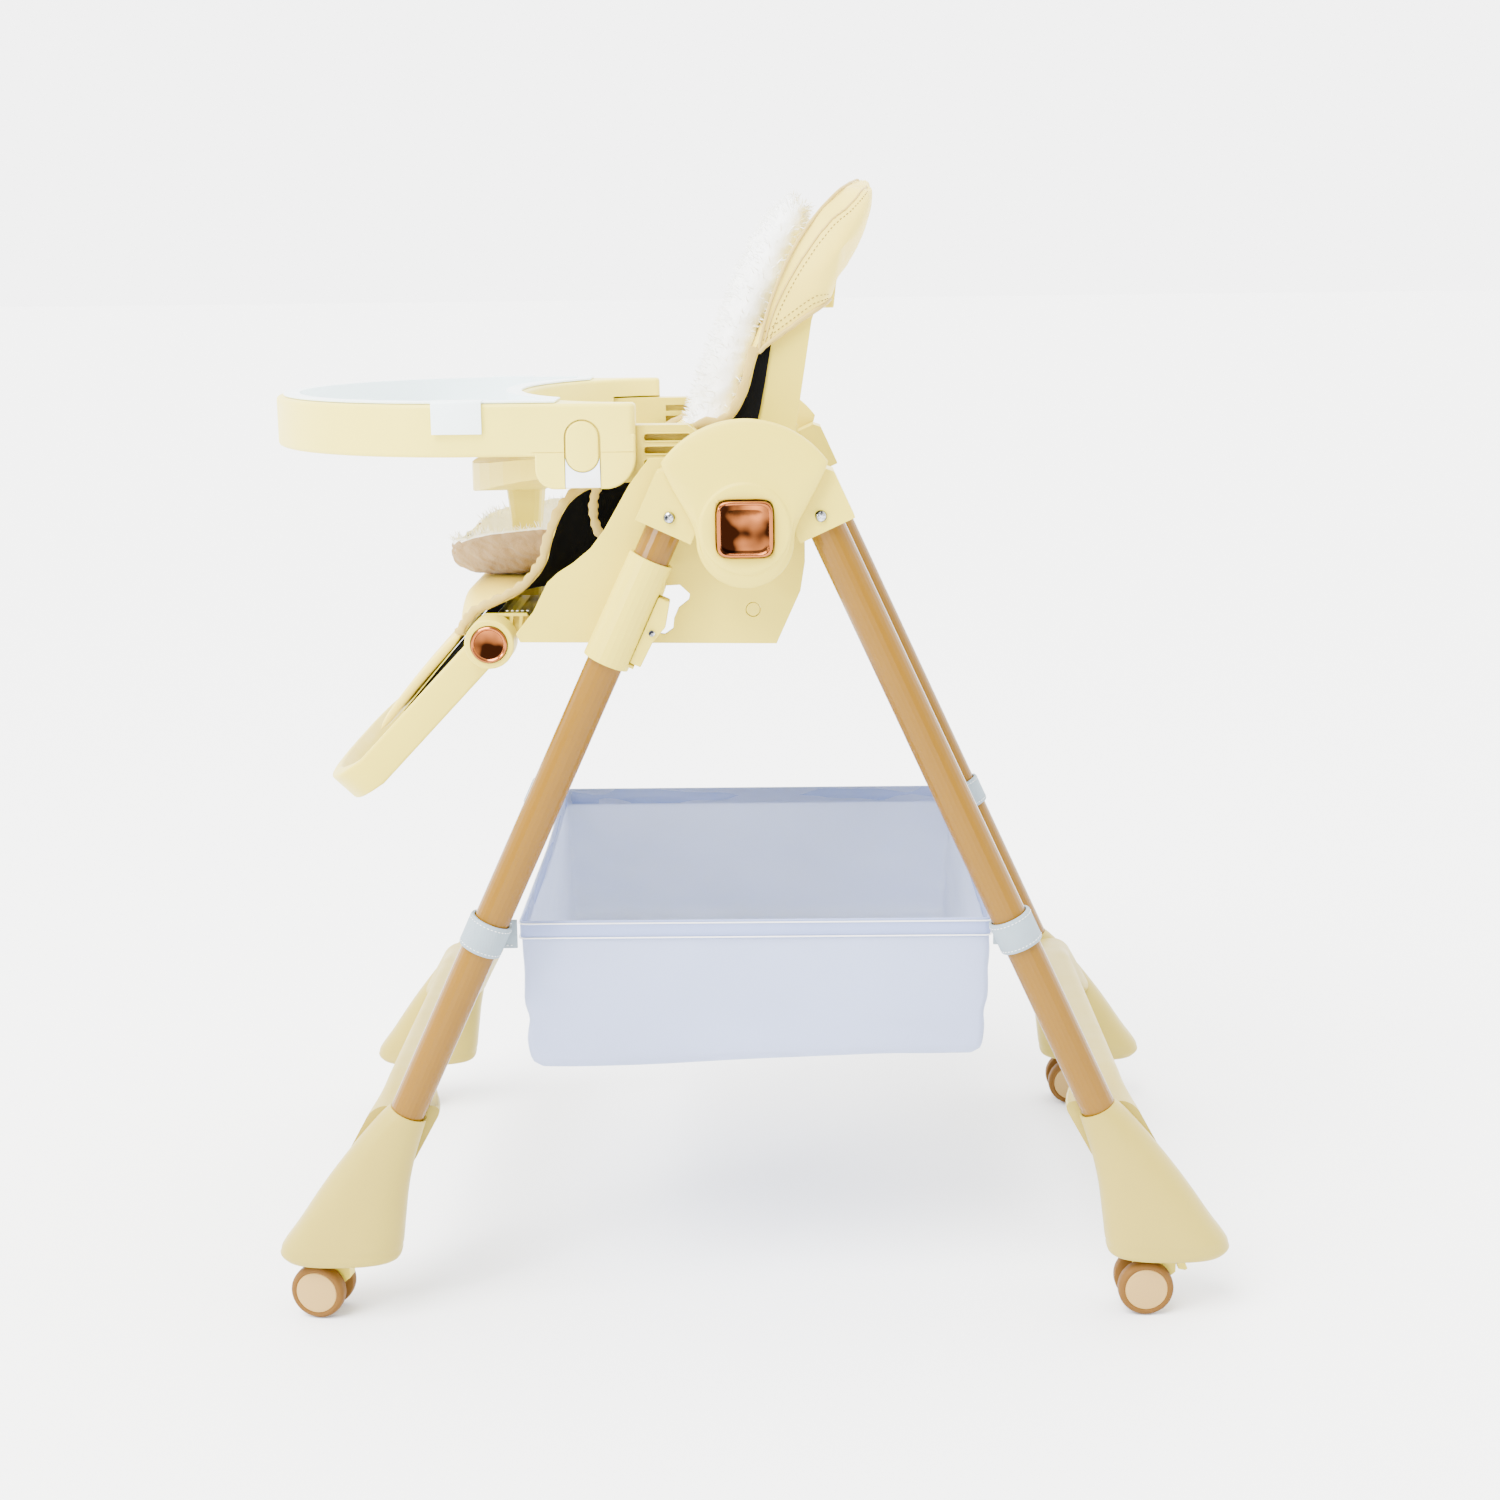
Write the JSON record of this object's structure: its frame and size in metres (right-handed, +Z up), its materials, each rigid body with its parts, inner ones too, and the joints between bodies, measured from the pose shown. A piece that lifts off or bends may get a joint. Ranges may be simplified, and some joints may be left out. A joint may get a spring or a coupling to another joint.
{
  "type": "baby high chair",
  "caption": "Foldable high chair on casters with sliding tray and lift-out insert, reclining back, footrest, height adjustment and storage basket.",
  "frame": {"origin": "on the floor under the middle of the chair's bounding box", "axes": "+Z up, the child faces -Y, +X is the child's left"},
  "size_m": [0.61, 0.871, 1.007],
  "materials": {
    "cream_plastic": "satin moulded plastic",
    "tan_paint": "smooth satin paint on steel tube",
    "copper_plate": "mirror-bright copper plating on plastic",
    "white_plastic": "glossy white plastic",
    "chrome_screw": "polished chrome",
    "steel_pin": "plain steel",
    "basket_nylon": "thin woven nylon, slightly crumpled",
    "strap_webbing": "white hook-and-loop webbing",
    "beige_leather": "soft coated leather with stitched seams",
    "knit_liner": "fluffy pinkish white knit",
    "caster_tread": "mauve brown soft tread"
  },
  "bodies": {
    "front_frame": {"front_leg_tube_left": "tan_paint", "front_leg_tube_right": "tan_paint", "front_foot_left": "cream_plastic", "front_foot_right": "cream_plastic", "front_crossbar": "cream_plastic", "front_hub_socket_left": "cream_plastic", "front_hub_socket_right": "cream_plastic", "hub_cover_left": "cream_plastic", "hub_cover_right": "cream_plastic", "pivot_pin_left": "steel_pin", "pivot_pin_right": "steel_pin", "front_hub_screw_left": "chrome_screw", "front_hub_screw_right": "chrome_screw", "basket": "basket_nylon", "front_basket_strap_left": "strap_webbing", "front_basket_strap_right": "strap_webbing"},
    "rear_frame": {"rear_leg_tube_left": "tan_paint", "rear_leg_tube_right": "tan_paint", "rear_foot_left": "cream_plastic", "rear_foot_right": "cream_plastic", "rear_crossbar": "cream_plastic", "rear_hub_socket_left": "cream_plastic", "rear_hub_socket_right": "cream_plastic", "rear_hub_screw_left": "chrome_screw", "rear_hub_screw_right": "chrome_screw", "rear_basket_strap_left": "strap_webbing", "rear_basket_strap_right": "strap_webbing"},
    "seat": {"seat_shell": "cream_plastic", "arm_frame": "cream_plastic", "seat_cover": "beige_leather", "seat_liner": "knit_liner", "height_sleeve_left": "cream_plastic", "height_sleeve_right": "cream_plastic"},
    "backrest": {"backrest_frame": "cream_plastic", "backrest_cover": "beige_leather", "backrest_liner": "knit_liner"},
    "recline_handle": {"recline_handle": "cream_plastic"},
    "footrest": {"footrest_frame": "cream_plastic", "calf_pad": "beige_leather"},
    "tray": {"tray": "cream_plastic"},
    "tray_insert": {"tray_insert": "white_plastic"},
    "fold_button_left": {"fold_button_left": "copper_plate"},
    "tray_release_left": {"tray_release_left": "white_plastic"},
    "footrest_button_left": {"footrest_button_left": "copper_plate"},
    "height_lever_left": {"height_lever_left": "cream_plastic"},
    "fold_button_right": {"fold_button_right": "copper_plate"},
    "tray_release_right": {"tray_release_right": "white_plastic"},
    "footrest_button_right": {"footrest_button_right": "copper_plate"},
    "height_lever_right": {"height_lever_right": "cream_plastic"},
    "caster_front_left": {"caster_fork_front_left": "cream_plastic"},
    "wheels_front_left": {"caster_wheels_front_left": "caster_tread"},
    "caster_front_right": {"caster_fork_front_right": "cream_plastic"},
    "wheels_front_right": {"caster_wheels_front_right": "caster_tread"},
    "caster_rear_left": {"caster_fork_rear_left": "cream_plastic"},
    "wheels_rear_left": {"caster_wheels_rear_left": "caster_tread"},
    "brake_rear_left": {"brake_lever_rear_left": "cream_plastic"},
    "caster_rear_right": {"caster_fork_rear_right": "cream_plastic"},
    "wheels_rear_right": {"caster_wheels_rear_right": "caster_tread"},
    "brake_rear_right": {"brake_lever_rear_right": "cream_plastic"}
  },
  "joints": [
    {"name": "fold", "type": "hinge", "parent": "front_frame", "child": "rear_frame", "pos_m": [0, 0.007, 0.716], "axis": [-1, 0, 0], "range_deg": [0, 46]},
    {"name": "seat_height", "type": "slide", "parent": "front_frame", "child": "seat", "axis": [0, -0.4187, -0.9081], "range_m": [0, 0.18]},
    {"name": "recline", "type": "hinge", "parent": "seat", "child": "backrest", "pos_m": [0, 0.0125, 0.639], "axis": [-1, 0, 0], "range_deg": [0, 40]},
    {"name": "recline_release", "type": "slide", "parent": "backrest", "child": "recline_handle", "axis": [0, 0.3069, 0.9517], "range_m": [0, 0.005], "stiffness_N_per_m": 400},
    {"name": "footrest_angle", "type": "hinge", "parent": "seat", "child": "footrest", "pos_m": [0, -0.2175, 0.61], "axis": [-1, 0, 0], "range_deg": [-40, 45]},
    {"name": "tray_slide", "type": "slide", "parent": "seat", "child": "tray", "axis": [0, -1, 0], "range_m": [-0.012, 0.05]},
    {"name": "insert_lift", "type": "slide", "parent": "tray", "child": "tray_insert", "axis": [0, 0, 1], "range_m": [0, 0.08]},
    {"name": "fold_button_left_press", "type": "slide", "parent": "front_frame", "child": "fold_button_left", "axis": [-1, 0, 0], "range_m": [0, 0.004], "stiffness_N_per_m": 400},
    {"name": "tray_release_left_press", "type": "slide", "parent": "tray", "child": "tray_release_left", "axis": [-1, 0, 0], "range_m": [0, 0.003], "stiffness_N_per_m": 300},
    {"name": "footrest_button_left_press", "type": "slide", "parent": "footrest", "child": "footrest_button_left", "axis": [-1, 0, 0], "range_m": [0, 0.002], "stiffness_N_per_m": 300},
    {"name": "height_lever_left_pull", "type": "slide", "parent": "seat", "child": "height_lever_left", "axis": [0, 0.9081, -0.4187], "range_m": [0, 0.004], "stiffness_N_per_m": 500},
    {"name": "fold_button_right_press", "type": "slide", "parent": "front_frame", "child": "fold_button_right", "axis": [1, 0, 0], "range_m": [0, 0.004], "stiffness_N_per_m": 400},
    {"name": "tray_release_right_press", "type": "slide", "parent": "tray", "child": "tray_release_right", "axis": [1, 0, 0], "range_m": [0, 0.003], "stiffness_N_per_m": 300},
    {"name": "footrest_button_right_press", "type": "slide", "parent": "footrest", "child": "footrest_button_right", "axis": [1, 0, 0], "range_m": [0, 0.002], "stiffness_N_per_m": 300},
    {"name": "height_lever_right_pull", "type": "slide", "parent": "seat", "child": "height_lever_right", "axis": [0, 0.9081, -0.4187], "range_m": [0, 0.004], "stiffness_N_per_m": 500},
    {"name": "swivel_front_left", "type": "hinge", "parent": "front_frame", "child": "caster_front_left", "pos_m": [0.262, -0.366, 0.05], "axis": [0, 0, 1], "continuous": true},
    {"name": "roll_front_left", "type": "hinge", "parent": "caster_front_left", "child": "wheels_front_left", "pos_m": [0.25853, -0.3857, 0.025], "axis": [0.9848, -0.1736, 0], "continuous": true},
    {"name": "swivel_front_right", "type": "hinge", "parent": "front_frame", "child": "caster_front_right", "pos_m": [-0.262, -0.366, 0.05], "axis": [0, 0, 1], "continuous": true},
    {"name": "roll_front_right", "type": "hinge", "parent": "caster_front_right", "child": "wheels_front_right", "pos_m": [-0.262, -0.386, 0.025], "axis": [1, 0, 0], "continuous": true},
    {"name": "swivel_rear_left", "type": "hinge", "parent": "rear_frame", "child": "caster_rear_left", "pos_m": [0.262, 0.38, 0.05], "axis": [0, 0, 1], "continuous": true},
    {"name": "roll_rear_left", "type": "hinge", "parent": "caster_rear_left", "child": "wheels_rear_left", "pos_m": [0.262, 0.36, 0.025], "axis": [1, 0, 0], "continuous": true},
    {"name": "brake_rear_left", "type": "hinge", "parent": "caster_rear_left", "child": "brake_rear_left", "pos_m": [0.262, 0.3885, 0.043], "axis": [-1, 0, 0], "range_deg": [0, 12]},
    {"name": "swivel_rear_right", "type": "hinge", "parent": "rear_frame", "child": "caster_rear_right", "pos_m": [-0.262, 0.38, 0.05], "axis": [0, 0, 1], "continuous": true},
    {"name": "roll_rear_right", "type": "hinge", "parent": "caster_rear_right", "child": "wheels_rear_right", "pos_m": [-0.262, 0.36, 0.025], "axis": [1, 0, 0], "continuous": true},
    {"name": "brake_rear_right", "type": "hinge", "parent": "caster_rear_right", "child": "brake_rear_right", "pos_m": [-0.262, 0.3885, 0.043], "axis": [-1, 0, 0], "range_deg": [0, 12]}
  ]
}
